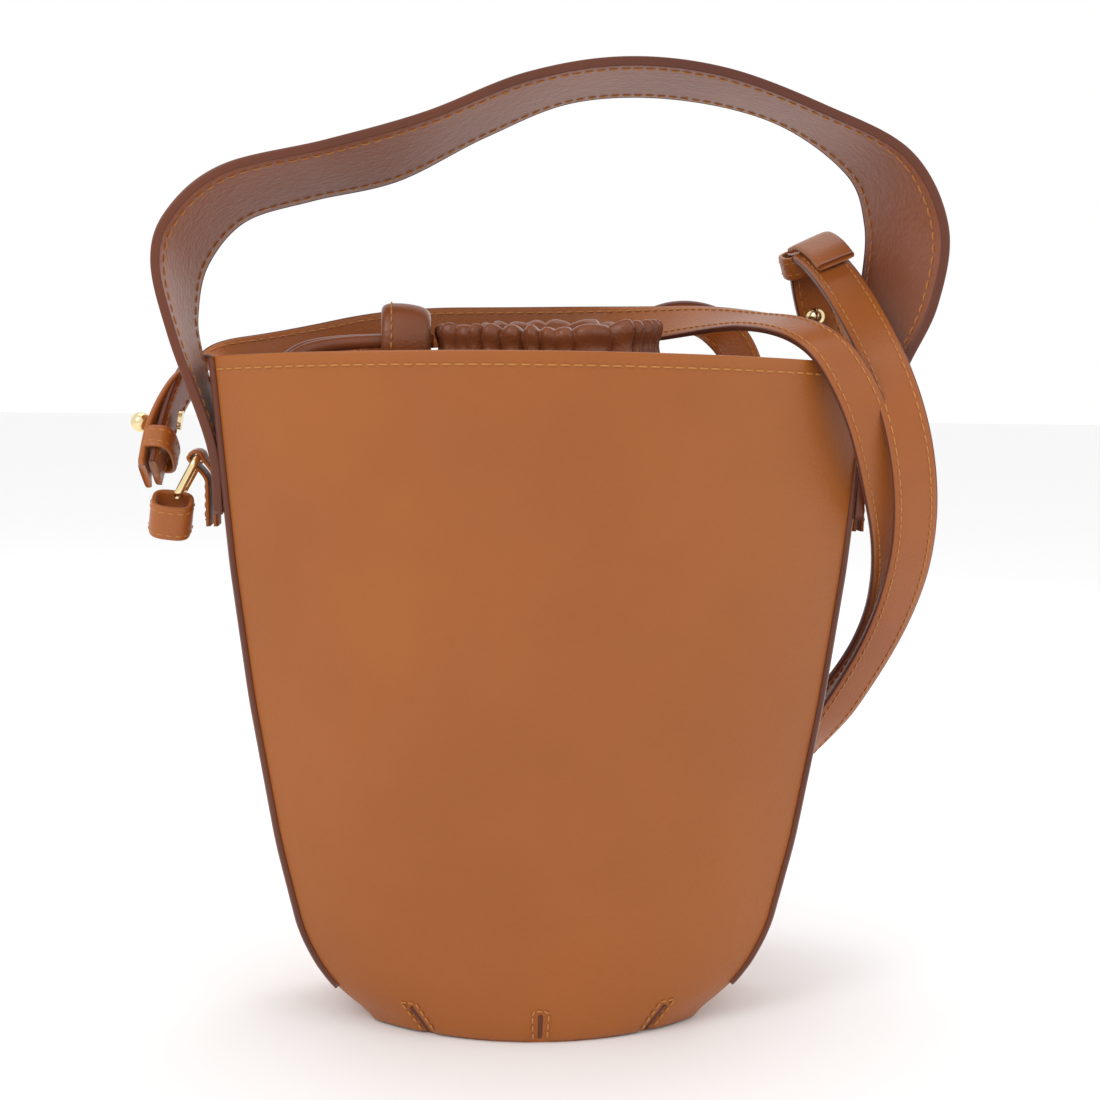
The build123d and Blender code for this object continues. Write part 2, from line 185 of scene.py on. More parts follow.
def sheet_object(name, grid, thickness, material, bevel=0.35, offset=1.0):
    """A thick sheet: grid is rows x columns of points, thickened along its normal."""
    rows, columns = grid.shape[:2]
    obj = mesh_object(name, grid.reshape(-1, 3), grid_faces(rows, columns), material)
    solid = obj.modifiers.new("thickness", "SOLIDIFY")
    solid.thickness = thickness * MM
    solid.offset = offset
    edges = obj.modifiers.new("edges", "BEVEL")
    edges.width = bevel * MM
    edges.segments = 3
    edges.limit_method = "ANGLE"
    edges.angle_limit = math.radians(50)
    return obj


def sweep_object(name, path, across, profile, material, closed=False):
    """Sweeps a profile of (across, up) points along the path, with across as its width."""
    path = np.asarray(path, float)
    if closed:
        along = unit(np.roll(path, -1, 0) - np.roll(path, 1, 0))
    else:
        along = unit(np.gradient(path, axis=0))
    across = np.asarray(across, float)
    across = unit(across - (across * along).sum(1, keepdims=True) * along)
    up = np.cross(across, along)
    profile = np.asarray(profile, float)
    count = len(profile)
    verts = (path[:, None] + across[:, None] * profile[None, :, :1]
             + up[:, None] * profile[None, :, 1:])
    rows = len(path)
    if closed:
        faces = closed_grid_faces(rows, count)
    else:
        faces = grid_faces(rows, count, wrap=True)
        faces.append(tuple(range(count)))
        faces.append(tuple((rows - 1) * count + k for k in reversed(range(count))))
    return mesh_object(name, verts.reshape(-1, 3), faces, material)


def round_profile(radius_across, radius_up, count=16, power=2.0):
    """Ellipse, or a squarer superellipse at a higher power."""
    angles = np.arange(count) * 2 * math.pi / count
    cosine = np.cos(angles)
    sine = np.sin(angles)
    return np.stack([radius_across * np.sign(cosine) * np.abs(cosine) ** (2 / power),
                     radius_up * np.sign(sine) * np.abs(sine) ** (2 / power)], 1)


def smooth_path(points, count):
    """Evenly spaced points on a Catmull-Rom curve through the given points."""
    points = np.asarray(points, float)
    ends = np.vstack([2 * points[0] - points[1], points, 2 * points[-1] - points[-2]])
    fine = []
    for k in range(1, len(ends) - 2):
        for t in np.linspace(0, 1, 40, endpoint=False):
            a, b, c, d = ends[k - 1:k + 3]
            fine.append(0.5 * (2 * b + (c - a) * t + (2 * a - 5 * b + 4 * c - d) * t ** 2
                               + (3 * b - a - 3 * c + d) * t ** 3))
    fine.append(points[-1])
    return resample(fine, count)


def resample(points, count):
    points = np.asarray(points, float)
    steps = np.r_[0, np.cumsum(np.linalg.norm(np.diff(points, axis=0), axis=1))]
    wanted = np.linspace(0, steps[-1], count)
    return np.stack([np.interp(wanted, steps, points[:, k]) for k in range(3)], 1)


def route_length(points):
    return np.linalg.norm(np.diff(points, axis=0), axis=1).sum()


def stitch_row(path, outward, pitch=3.9, length=3.0, radius=0.33):
    """Thread segments along a path, each one dipping into the leather at its ends."""
    path = np.asarray(path, float)
    count = max(int(route_length(path) / pitch), 2)
    places = resample(path, count * 4 + 1)
    outs = resample(np.asarray(outward, float), count * 4 + 1)
    verts = []
    faces = []
    for k in range(count):
        a, b = places[4 * k], places[4 * k + 3]
        direction = unit(b - a)
        out = unit(outs[4 * k + 2])
        side = unit(np.cross(direction, out))
        middle = (a + b) / 2
        start = len(verts)
        stations = ((-0.5, 0.45, -0.35), (-0.42, 0.85, 0.0), (0, 1.0, 0.22), (0.42, 0.85, 0.0),
                    (0.5, 0.45, -0.35))
        for share, size, lift in stations:
            centre = middle + direction * share * length + out * lift * radius * 2
            for corner in range(6):
                angle = corner * math.pi / 3
                verts.append(centre + radius * size * (side * math.cos(angle) + out * math.sin(angle)))
        for ring in range(len(stations) - 1):
            for corner in range(6):
                low = start + ring * 6
                after = (corner + 1) % 6
                faces.append((low + corner, low + after, low + 6 + after, low + 6 + corner))
        faces.append(tuple(start + c for c in reversed(range(6))))
        faces.append(tuple(start + 6 * (len(stations) - 1) + c for c in range(6)))
    return verts, faces


def stitch_object(name, rows):
    """One mesh for several rows: each row is (path, outward, options)."""
    verts = []
    faces = []
    for path, outward, options in rows:
        new_verts, new_faces = stitch_row(path, outward, **options)
        faces += [tuple(i + len(verts) for i in face) for face in new_faces]
        verts += new_verts
    return mesh_object(name, verts, faces, THREAD)


def settle(obj, body, slot_name, *nodes):
    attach(obj, body)
    if nodes:
        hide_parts(*nodes)
    return obj


# ---------------------------------------------------------------- bucket shell
def half_width(z):
    return sum(np.interp(z + shift, LEVELS, HALF_WIDTHS) for shift in (-5, -2.5, 0, 2.5, 5)) / 5


def half_depth(z):
    tuck = 1.6 * np.exp(-np.asarray(z, float) / 1.6)
    return BASE_DEPTH + (RIM_DEPTH - BASE_DEPTH) * z / LEVELS[-1] - tuck


def rim_height(x):
    return RIM_MIDDLE - (RIM_MIDDLE - RIM_CORNER) * (x / 105) ** 2


def panel_point(share, z, sign):
    """Point of the front (sign -1) or back panel; share runs from -1 to 1 across it."""
    a = half_width(z)
    rise = half_depth(z) - SIDE
    radius = (a * a + rise * rise) / (2 * rise)
    reach = math.asin(min(a / radius, 1.0))
    angle = reach * share
    return np.array([radius * math.sin(angle),
                     sign * (SIDE + radius * math.cos(angle) - (radius - rise)), z])


def panel_grid(sign, rows=90, columns=81, low=0.4):
    grid = np.zeros((rows, columns, 3))
    for column, share in enumerate(np.linspace(-1, 1, columns)):
        top = rim_height(105 * share)
        for row, part in enumerate(np.linspace(0, 1, rows)):
            z = low + (top - low) * part ** 1.25
            grid[row, column] = panel_point(share, z, sign)
    return grid


DARTS = (-0.62, 0.0, 0.62)


def pinch_darts(grid, sign):
    """Pinches the panel inwards at each dart."""
    shares = np.linspace(-1, 1, grid.shape[1])
    for dart in DARTS:
        for row in range(grid.shape[0]):
            z = grid[row, 0, 2]
            depth = max(0.0, 1 - z / 11)
            pinch = np.exp(-((shares - dart) / 0.035) ** 2) * depth
            grid[row, :, 1] -= sign * 1.6 * pinch
    return grid


for name, sign in (("front_panel", -1), ("back_panel", 1)):
    grid = pinch_darts(panel_grid(sign), sign)
    panel = sheet_object(name + "_leather", grid, LEATHER - 0.1, TAN, 0.5, 1.0 if sign > 0 else -1.0)
    settle(panel, "bag", "tan_leather", name)
    shares = np.linspace(-0.985, 0.985, 120)
    rim_path = np.array([panel_point(s, rim_height(105 * s) - 4.2, sign) for s in shares])
    outward = np.array([[0.5 * s, sign, 0] for s in shares])
    rows = [(rim_path + unit(outward) * 0.12, outward, {})]
    for dart in DARTS:
        u_path = []
        for side, z_from, z_to in ((-1, 1.5, 11), (1, 11, 1.5)):
            for z in np.linspace(z_from, z_to, 12):
                u_path.append(panel_point(dart + side * 0.038, z, sign))
        u_path = np.array(u_path)
        rows.append((u_path + np.array([0, sign * 0.25, 0]), np.tile([0.0, sign, 0.0], (len(u_path), 1)),
                     {"pitch": 2.6, "length": 2.0}))
    stitches = stitch_object(name + "_stitches", rows)
    settle(stitches, "bag", "tan_leather")
    for dart in DARTS:
        path = np.array([panel_point(dart, z, sign) for z in np.linspace(0.8, 9.5, 14)])
        path[:, 1] -= sign * (1.6 * np.maximum(0, 1 - path[:, 2] / 11) - 0.12)
        slit = sweep_object(name + "_dart_%d" % round(10 * dart + 10), path,
                            np.tile([1.0, 0, 0], (len(path), 1)),
                            round_profile(0.75, 0.35, 8), EDGE)
        settle(slit, "bag", "edge_binding")

for name, sign in (("left", -1), ("right", 1)):
    heights = np.linspace(0.4, RIM_CORNER, 90)
    grid = np.array([[(sign * half_width(z), y, z) for y in np.linspace(-SIDE, SIDE, 15)]
                     for z in heights])
    gusset = sheet_object(name + "_gusset_leather", grid, LEATHER - 0.1, TAN, 0.4,
                          1.0 if sign < 0 else -1.0)
    settle(gusset, "bag", "tan_leather", name + "_gusset")
    for side_name, side in (("front", -1), ("back", 1)):
        heights = np.linspace(12, RIM_CORNER - 0.3, 120)
        path = np.array([(sign * (half_width(z) - 0.15), side * (SIDE + 0.1), z) for z in heights])
        across = np.tile([sign * 0.6, side * -0.8, 0.0], (len(path), 1))
        bead = sweep_object(name + "_" + side_name + "_piping", path, across,
                            round_profile(1.25, 1.15, 12, 2.6), EDGE)
        settle(bead, "bag", "edge_binding", name + "_" + side_name + "_binding")

# ---------------------------------------------------------------- handle
handle_root = np.interp(166, LEVELS, HALF_WIDTHS) + HANDLE_THICKNESS + 1.6
handle_lap = np.interp(188, LEVELS, HALF_WIDTHS) + HANDLE_THICKNESS + 1.6
FRONT_EDGE = [
    (-handle_root, 166), (-handle_lap, 188), (-118.6, 222), (-124, 246),
    (-118.6, 262), (-101.7, 275.8), (-69.7, 284.1), (-38.6, 293.4), (-7.4, 306.1), (24, 311.8),
    (55.8, 309.2), (88, 298.4), (116.5, 284.5), (129.5, 261), (127, 236), (117.5, 215),
    (handle_lap, 188), (handle_root, 166)]
BACK_EDGE = [
    (-handle_root, 166), (-handle_lap, 188), (-114.9, 216), (-116.4, 231),
    (-112.5, 248), (-99.3, 263.3), (-76, 271), (-47.8, 278), (-18.9, 293), (11.5, 305.4),
    (47, 307.2), (82, 299.7), (107.5, 282.6), (115, 264.5), (114.5, 244), (110.5, 216),
    (handle_lap, 188), (handle_root, 166)]
HANDLE_STEPS = 260


def edge_curve(points, y):
    return smooth_path([(x, y, z) for x, z in points], HANDLE_STEPS)


handle_front = edge_curve(FRONT_EDGE, -SIDE)
handle_back = edge_curve(BACK_EDGE, SIDE)


def band_point_rows(depth, margin):
    """Grid of the band at a depth under its outer face, set in from both edges by margin."""
    shares = np.linspace(margin / (2 * SIDE), 1 - margin / (2 * SIDE), 13)
    grid = np.array([handle_front * (1 - s) + handle_back * s for s in shares]).transpose(1, 0, 2)
    along = unit(np.gradient(grid, axis=0))
    inward = unit(np.stack([along[..., 2], np.zeros(along.shape[:2]), -along[..., 0]], -1))
    return grid + inward * depth, inward


outer_grid, inward_grid = band_point_rows(0, 0.3)
band = sheet_object("handle_outer_leather", outer_grid, 1.5, TAN, 0.5, 1.0)
settle(band, "bag", "tan_leather", "handle_band")
inner_grid, _ = band_point_rows(HANDLE_THICKNESS, 0.3)
lining = sheet_object("handle_inner_leather", inner_grid, 1.3, INNER, 0.5, -1.0)
settle(lining, "bag", "inner_leather", "handle_lining")
for edge_name, column, y_sign in (("front", 0, -1), ("back", -1, 1)):
    middle_path = (outer_grid[:, column] + inner_grid[:, column]) / 2
    middle_path = middle_path + np.array([0, y_sign * 0.12, 0])
    paint = sweep_object("handle_" + edge_name + "_edge", middle_path,
                         inward_grid[:, column], round_profile(1.5, 0.5, 14, 3), EDGE)
    settle(paint, "bag", "edge_binding")

HANDLE_SEAM_MARGIN = 4.2
handle_rows = []
out_rows, row_inward = band_point_rows(-0.1, HANDLE_SEAM_MARGIN)
in_rows, _ = band_point_rows(HANDLE_THICKNESS + 0.1, HANDLE_SEAM_MARGIN)
for column in (0, -1):
    handle_rows.append((out_rows[:, column], -row_inward[:, column], {}))
    handle_rows.append((in_rows[6:-6, column], row_inward[6:-6, column], {}))
handle_stitches = stitch_object("handle_stitches", handle_rows)
settle(handle_stitches, "bag", "tan_leather")

# ---------------------------------------------------------------- drawstring top
COLLAR_X = 3
COLLAR_BOTTOM = 208
COLLAR_TOP = 230


def lens_point(angle, width, depth, centre_x):
    """Point on a lens-shaped ring: a circle squeezed towards pointed ends."""
    x = width * math.cos(angle)
    y = depth * math.sin(angle) * (0.86 + 0.14 * abs(math.sin(angle)))
    return np.array([centre_x + x, y, 0.0])


def pleat(angle, count):
    """Soft folds of uneven width with sharp bottoms."""
    warp = 2.3 * math.sin(3 * angle) + 1.4 * math.sin(5 * angle + 2) + 0.9 * math.sin(8 * angle)
    wave = abs(math.sin((count * angle + warp) / 2))
    size = 0.75 + 0.25 * math.sin(6 * angle + 1) + 0.2 * math.sin(13 * angle)
    return (2 * wave ** 0.6 - 1) * size


COLLAR_COUNT = 540
FOLD_COUNT = 30
collar_profile = [  # share outwards from the collar's middle line, height
    (-4.6, COLLAR_BOTTOM + 0.8), (-4.9, COLLAR_BOTTOM + 8), (-4.6, COLLAR_BOTTOM + 15),
    (-3.2, COLLAR_TOP - 1.6),
    (-0.9, COLLAR_TOP - 0.3), (1.2, COLLAR_TOP - 1.0), (2.3, COLLAR_TOP - 3.6), (1.0, COLLAR_TOP - 6.6),
    (0.3, COLLAR_TOP - 9), (1.4, COLLAR_TOP - 12), (2.1, COLLAR_BOTTOM + 5), (0.8, COLLAR_BOTTOM + 1.2),
    (-1.8, COLLAR_BOTTOM + 0.3)]
collar_rows = []
for k in range(COLLAR_COUNT):
    angle = 2 * math.pi * k / COLLAR_COUNT
    sag = 1.6 + 1.5 * math.cos(angle + 2.6) + 0.7 * math.sin(3 * angle)
    ring = []
    for share, z in collar_profile:
        up = (z - COLLAR_BOTTOM) / (COLLAR_TOP - COLLAR_BOTTOM)
        fold = pleat(angle + 0.05 * math.sin(2 * angle + 1) * (1 - up), FOLD_COUNT)
        depth = 1.0 if share > -4 else 0.35
        swell = share - 2.6 + 2.0 * fold * depth * (0.45 + 0.55 * min(1, 2 * up))
        base = lens_point(angle, 36.5 + swell, 25.5 + swell, COLLAR_X)
        base[2] = min(z + (1.3 * fold - sag) * up, COLLAR_TOP + 0.6)
        ring.append(base)
    collar_rows.append(ring)
collar_grid = np.array(collar_rows)
collar_faces = closed_grid_faces(COLLAR_COUNT, len(collar_profile))
collar = mesh_object("gathered_collar", collar_grid.reshape(-1, 3), collar_faces, SOFT)
collar.modifiers.new("rounding", "SUBSURF").render_levels = 1
settle(collar, "bag", "soft_leather", "drawstring_collar")

skirt_profile = (  # share of the way from the collar out to the wall, height
    (0.0, 206.8), (0.12, 205.3), (0.3, 203.5), (0.55, 201.4), (0.8, 199.2), (0.93, 197.5), (1.0, 194.5))
skirt_grid = np.zeros((len(skirt_profile), COLLAR_COUNT + 1, 3))
outer_width = half_width(196) - 4.6
outer_depth = float(half_depth(196)) - 4.6
for k in range(COLLAR_COUNT + 1):
    angle = 2 * math.pi * k / COLLAR_COUNT
    fold = pleat(angle, FOLD_COUNT)
    inner_point = lens_point(angle, 36, 25, COLLAR_X)
    a = outer_width
    rise = outer_depth - 19
    radius = (a * a + rise * rise) / (2 * rise)
    x = a * math.cos(angle)
    limit = 19 + math.sqrt(max(radius * radius - x * x, 0)) - (radius - rise)
    y = max(-limit, min(limit, 62 * math.sin(angle)))
    outer_point = np.array([x, y, 0.0])
    for row, (share, z) in enumerate(skirt_profile):
        place = inner_point * (1 - share) + outer_point * share
        place[2] = z + 1.0 * fold * (1 - share) ** 1.5
        skirt_grid[row, k] = place
skirt = sheet_object("gathered_skirt", skirt_grid, 1.0, SOFT, 0.2, 1.0)
settle(skirt, "bag", "soft_leather", "drawstring_skirt")

# Toggle: a rolled leather barrel, stitched around the front near its left end
TOGGLE_LEFT = -52
TOGGLE_Z = 222
toggle_outline = (  # share of the radius, distance from the left end
    (0.52, 0.2), (0.60, 0.0), (0.80, -0.25), (0.94, 0.5), (1.0, 2.6), (1.0, 8), (1.0, 13.4),
    (0.94, 15.5), (0.80, 16.25), (0.60, 16.0), (0.52, 15.8), (0.50, 8))
toggle_rows = []
TOGGLE_AROUND = 48
for k in range(TOGGLE_AROUND):
    angle = 2 * math.pi * k / TOGGLE_AROUND
    ring = []
    for size, x in toggle_outline:
        taper = 1 - 0.16 * max(0, (x - 7) / 9) ** 2
        ring.append((TOGGLE_LEFT + x, 9.9 * size * taper * math.cos(angle),
                     TOGGLE_Z + 12.3 * size * taper * math.sin(angle)))
    toggle_rows.append(ring)
toggle_grid = np.array(toggle_rows)
toggle_faces = closed_grid_faces(TOGGLE_AROUND, toggle_grid.shape[1])
toggle = mesh_object("toggle_barrel", toggle_grid.reshape(-1, 3), toggle_faces, SOFT)
toggle.modifiers.new("rounding", "SUBSURF").render_levels = 2
settle(toggle, "toggle_slider", "soft_leather", "toggle")
seam_angles = np.linspace(-2.2, 2.2, 60)
seam_path = np.array([(TOGGLE_LEFT + 3.2, -9.95 * math.cos(t), TOGGLE_Z + 12.35 * math.sin(t))
                      for t in seam_angles])
seam_out = np.array([(0, -math.cos(t), math.sin(t)) for t in seam_angles])
toggle_seam = stitch_object("toggle_stitches", [(seam_path, seam_out, {"pitch": 3.0, "length": 2.3})])
settle(toggle_seam, "toggle_slider", "soft_leather")


# ---------------------------------------------------------------- free cords and the strap
def spline_points(points, resolution=16):
    """The smooth line that a cord takes: a quadratic NURBS with the route as control points."""
    curve = bpy.data.curves.new("route", "CURVE")
    curve.dimensions = "3D"
    curve.resolution_u = resolution
    spline = curve.splines.new("NURBS")
    spline.points.add(len(points) - 1)
    for point, place in zip(spline.points, points):
        point.co = (*(v * MM for v in place), 1)
    spline.order_u = 3
    spline.use_endpoint_u = True
    holder = bpy.data.objects.new("route", curve)
    bpy.context.scene.collection.objects.link(holder)
    mesh = bpy.data.meshes.new_from_object(holder)
    line = np.array([v.co[:] for v in mesh.vertices]) / MM
    bpy.data.objects.remove(holder)
    bpy.data.meshes.remove(mesh)
    return line


FRONT_CORD = [
    (-35.1, -3.25, 222), (-71, -4.25, 222), (-85, -13, 213),
    (-84, -26, 206.5), (-70, -34.5, 204.5), (-50, -40, 204.5)]
BACK_CORD = [
    (-35.1, 3.25, 222), (-72, 4.25, 222.5), (-87, 13, 214),
    (-85, 26, 207), (-71, 34.5, 205), (-52, 40.5, 205)]
for cord_name, points in (("front", FRONT_CORD), ("back", BACK_CORD)):
    line = resample(spline_points(points), 90)
    across = np.tile([0.0, 0.0, 1.0], (len(line), 1)) + 0.01
    cord = sweep_object(cord_name + "_cord", line, across, round_profile(2.25, 2.1, 16), CORD)
    knot_path = []
    end = line[-1]
    heading = unit(line[-1] - line[-4])
    side = unit(np.cross(heading, (0, 0, 1)))
    lift = np.cross(side, heading)
    for t in np.linspace(0, 2 * math.pi, 40, endpoint=False):
        knot_path.append(end + heading * (3.4 + 1.5 * math.sin(2 * t)) + side * 2.4 * math.cos(t)
                         + lift * 2.1 * math.sin(t + 0.5))
    knot_path = np.array(knot_path)
    knot = sweep_object(cord_name + "_cord_knot", knot_path, np.tile(heading, (40, 1)) + 0.02,
                        round_profile(1.9, 1.9, 12), CORD, closed=True)
    settle(cord, "bag", "cord_leather", cord_name + "_drawcord")
    settle(knot, "bag", "cord_leather", cord_name + "_knot")

# The strap's route, each point with the direction of the strap's width there
STRAP = [
    ((-125, -4, 178), (0.1, 1, -0.6)), ((-121.5, 14, 203), (0.3, 1, -0.4)),
    ((-113, 38, 214), (0.3, 0.4, 0.8)), ((-86, 50, 218), (0, 0, 1)), ((-48, 60, 227), (0, 0, 1)),
    ((0, 65, 228), (0, 0.1, 1)), ((38, 58, 229), (0.3, 0.5, 0.8)), ((64, 18, 231), (1, 0.4, 0.35)),
    ((84, -36, 228), (1, 0.35, 0.3)), ((98, -42, 207), (1, 0.1, 0.35)),
    ((106, -35, 186), (1, 0.3, 0.15)), ((118, -10, 156), (1, 0.6, 0)), ((121, 18, 126), (0.9, 0.6, 0)),
    ((108, 44, 93), (0.5, 0.8, -0.6)), ((88, 68, 64), (0.2, 1, 0.1)),
    ((54, 74, 58), (0, 1, 0.3)), ((30, 75, 84), (0.3, 1, 0)), ((26, 75, 122), (0.8, 0.5, 0)),
    ((31, 74, 160), (1, 0.1, 0)), ((35, 72, 194), (1, 0, 0)),
    ((36, 71, 219), (1, 0, -0.2)), ((48, 69, 232.5), (0.4, 0.6, -0.7)), ((66, 67, 232.5), (-0.3, 0.6, -0.7)),
    ((79, 63, 219.5), (-1, 0, -0.3)), ((83, 59, 190), (-1, 0, 0)),
    ((79, 57, 150), (-1, 0, 0)), ((68, 60, 114), (-1, 0.1, 0)), ((58, 62, 84), (-0.8, 0.6, 0)),
    ((62, 60, 58), (-0.2, 1, 0)), ((84, 55, 50), (0, 1, 0)),
    ((101, 45, 74), (0.5, 0.9, 0)), ((114, 26, 102), (0.9, 0.5, -0.3)), ((122, 4, 130), (1, 0.4, -0.2)),
    ((122, -22, 158), (1, 0.2, -0.15)), ((116, -41, 186), (1, 0, 0.1)),
    ((109, -40, 211), (1, 0, 0.25)), ((103, -10, 236), (1, 0, 0.35)), ((97, 16, 252), (1, 0.05, 0.4)),
    ((94.5, 25, 254.5), (1, 0.05, 0.4))]
STRAP_END = [
    ((124, 9, 187), (0.1, 1, 0)), ((119, 34, 206), (1, 0.6, 0.2)),
    ((99, 38, 229), (1, 0, 0.25)), ((95, 31, 255), (1, 0, 0.15))]


def band_profile(width, thickness):
    """Flat strap with softly rounded edges."""
    return round_profile(width / 2, thickness / 2, 28, 5)


def flat_strap(name, route, body, per_mm=0.7, thickness=STRAP_THICKNESS):
    control = [p for p, _ in route]
    raw = spline_points(control)
    count = int(route_length(raw) * per_mm)
    line = resample(raw, count)
    steps = np.r_[0, np.cumsum(np.linalg.norm(np.diff(raw, axis=0), axis=1))]
    share_of_control = np.linspace(0, 1, len(raw))
    shares = np.interp(np.linspace(0, steps[-1], count), steps, share_of_control)
    widths = unit([w for _, w in route])
    places = np.linspace(0, 1, len(widths))
    across = unit(np.stack([np.interp(shares, places, widths[:, k]) for k in range(3)], 1))
    along = unit(np.gradient(line, axis=0))
    across = unit(across - (across * along).sum(1, keepdims=True) * along)
    for _ in range(6):
        across[1:-1] = unit(across[:-2] + across[1:-1] * 2 + across[2:])
    strap = sweep_object(name, line, across, band_profile(STRAP_WIDTH, thickness), TAN_STRAP)
    along = unit(np.gradient(line, axis=0))
    across = unit(across - (across * along).sum(1, keepdims=True) * along)
    up = np.cross(across, along)
    rows = []
    for side in (-1, 1):
        for face in (-1, 1):
            path = line + across * side * (STRAP_WIDTH / 2 - 2.1) + up * face * (thickness / 2 + 0.02)
            rows.append((path[3:-3], (up * face)[3:-3], {"pitch": 3.6, "length": 2.7, "radius": 0.3}))
    stitches = stitch_object(name + "_stitches", rows)
    paints = []
    for side in (-1, 1):
        path = line + across * side * (STRAP_WIDTH / 2 - 0.25)
        paints.append(sweep_object(name + "_edge_%s" % ("low" if side < 0 else "high"), path, across,
                                   round_profile(0.4, thickness / 2 - 0.35, 10, 2.5), EDGE))
    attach(stitches, body)
    for paint in paints:
        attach(paint, body)
    return strap, line, [stitches] + paints


strap, strap_line, strap_trim = flat_strap("long_strap", STRAP, "bag")
settle(strap, "bag", "strap_leather", "shoulder_strap")
end_strap, end_line, end_trim = flat_strap("stud_strap", STRAP_END, "bag", thickness=4.4)
settle(end_strap, "bag", "strap_leather", "right_strap_end")

# ---------------------------------------------------------------- small metal and leather parts
for node in ("left_ring", "right_ring"):
    for polygon in coat(node, GOLD).polygons:
        polygon.use_smooth = True


def flat_band(name, path, across, width, thickness, look, closed=False):
    return sweep_object(name, path, across, round_profile(width / 2, thickness / 2, 24, 5), look, closed)


# Ring tabs: a strip folded over the ring's bar and stitched to the handle's end
EYE_X = handle_lap + 5.1
EYE_Z = 183
for side_name, sign in (("left", -1), ("right", 1)):
    wall = handle_root + 0.9
    outline = [(wall, 161), (wall + 0.2, 170), (wall + 0.8, 178)]
    outline += [(EYE_X - 2.2 * math.cos(t), EYE_Z + 2.2 * math.sin(t)) for t in np.linspace(0, 3.3, 12)]
    outline += [(wall + 3.4, 177), (wall + 2.7, 172), (wall + 2.5, 161)]
    path = smooth_path([(sign * x, 0, z) for x, z in outline], 70)
    tab = flat_band(side_name + "_tab_strip", path, np.tile([0.0, 1, 0], (70, 1)), 14.5, 1.5, TAN)
    settle(tab, "bag", "tan_leather", side_name + "_ring_tab")
    face = wall + 2.5 + 0.85
    box_path = [(sign * face, y, z) for y, z in ((-5.3, 175), (-5.3, 163), (5.3, 163), (5.3, 175))]
    rows = [(np.array(box_path[k:k + 2]), np.tile([float(sign), 0, 0], (2, 1)),
             {"pitch": 2.8, "length": 2.1, "radius": 0.28}) for k in range(3)]
    settle(stitch_object(side_name + "_tab_stitches", rows), "bag", "tan_leather")


def loop_path(centre, wide, deep, half_wide, half_deep, count=72, power=3.2):
    """Closed rounded rectangle in the plane of two directions."""
    wide = unit(np.array(wide, float))
    deep = unit(np.array(deep, float) - np.dot(deep, wide) * wide)
    outline = round_profile(half_wide, half_deep, count, power)
    return np.array([np.array(centre) + wide * a + deep * b for a, b in outline]), np.cross(wide, deep)


def leather_loop(name, body, node, centre, wide, deep, half_wide, half_deep, width, thickness):
    path, axis = loop_path(centre, wide, deep, half_wide, half_deep)
    band = flat_band(name, path, np.tile(axis, (len(path), 1)), width, thickness, TAN_STRAP, closed=True)
    settle(band, body, "strap_leather", node)
    outward = unit(path - np.array(centre))
    closed_path = np.vstack([path, path[:1]])
    closed_out = np.vstack([outward, outward[:1]])
    rows = [(closed_path + closed_out * (thickness / 2) + axis * side * (width / 2 - 1.9), closed_out,
             {"pitch": 3.0, "length": 2.2, "radius": 0.26}) for side in (-1, 1)]
    settle(stitch_object(name + "_stitches", rows), body, "strap_leather")


# Strap end loops and keepers: closed stitched bands of strap leather
leather_loop("left_end_loop", "left_ring_body", "left_strap_loop", (-119.6, -7, 164.6),
             (1, 0.05, -0.12), (0, 1, 0.45), 6.0, 5.6, 12, 1.8)
ring_drop = 13.6
right_bar = (EYE_X + 0.1 + ring_drop * math.sin(math.radians(62)), 0,
             EYE_Z - ring_drop * math.cos(math.radians(62)))
leather_loop("right_end_loop", "right_ring_body", "right_strap_loop", right_bar,
             (1, 0, 0), (0, 0, 1), 3.1, 3.1, 13.6, 2.2)
leather_loop("left_keeper_band", "left_keeper_slider", "left_keeper", (-123.9, 1.5, 185.5),
             (0.1, 1, -0.7), (1, 0, -0.14), 8.2, 4.6, 8, 1.5)
leather_loop("right_keeper_band", "right_keeper_slider", "right_keeper", (95.2, 30.5, 252),
             (1, 0.05, 0.35), (0, 1, 0.25), 9.0, 5.6, 8, 1.6)

# Strap tails: at the right the tip sticks out of the keeper, at the left a second layer lies on the strap
tail_path = smooth_path([(93.5, 30, 257.5), (95, 22, 258), (97.2, 13, 255), (99.4, 6, 250.5)], 40)
tail = flat_band("right_strap_tip", tail_path, np.tile([0.9, 0.1, 0.42], (40, 1)), 13.4, 2.4, TAN_STRAP)
settle(tail, "bag", "strap_leather")
left_tail = smooth_path([(-128.2, -5, 177), (-128.4, -2, 181), (-126.6, 5, 192), (-122, 16, 203),
                         (-116, 28, 210)], 60)
second_layer = flat_band("left_strap_tip", left_tail, np.tile([0.1, 1, -0.6], (60, 1)), 13.4, 2.4, TAN_STRAP)
settle(second_layer, "bag", "strap_leather")


def ball_stud(name, node, base, outward):
    """Turned ball head on a narrow waist with a foot."""
    outward = unit(np.array(outward, float))
    side = unit(np.cross(outward, (0.1, 0.2, 1)))
    other = np.cross(outward, side)
    outline = [(0.02, -1.0), (2.6, -1.0), (2.6, -0.3), (1.3, 0.1), (1.2, 1.6)]
    outline += [(3.35 * math.sin(t), 4.6 - 3.35 * math.cos(t)) for t in np.linspace(0.45, 3.05, 18)]
    around = 32
    verts = [np.array(base) + outward * h + r * (side * math.cos(2 * math.pi * k / around)
             + other * math.sin(2 * math.pi * k / around)) for r, h in outline for k in range(around)]
    faces = grid_faces(len(outline), around, wrap=True)
    stud = mesh_object(name, verts, faces, GOLD)
    settle(stud, "bag", "gold_metal", node)


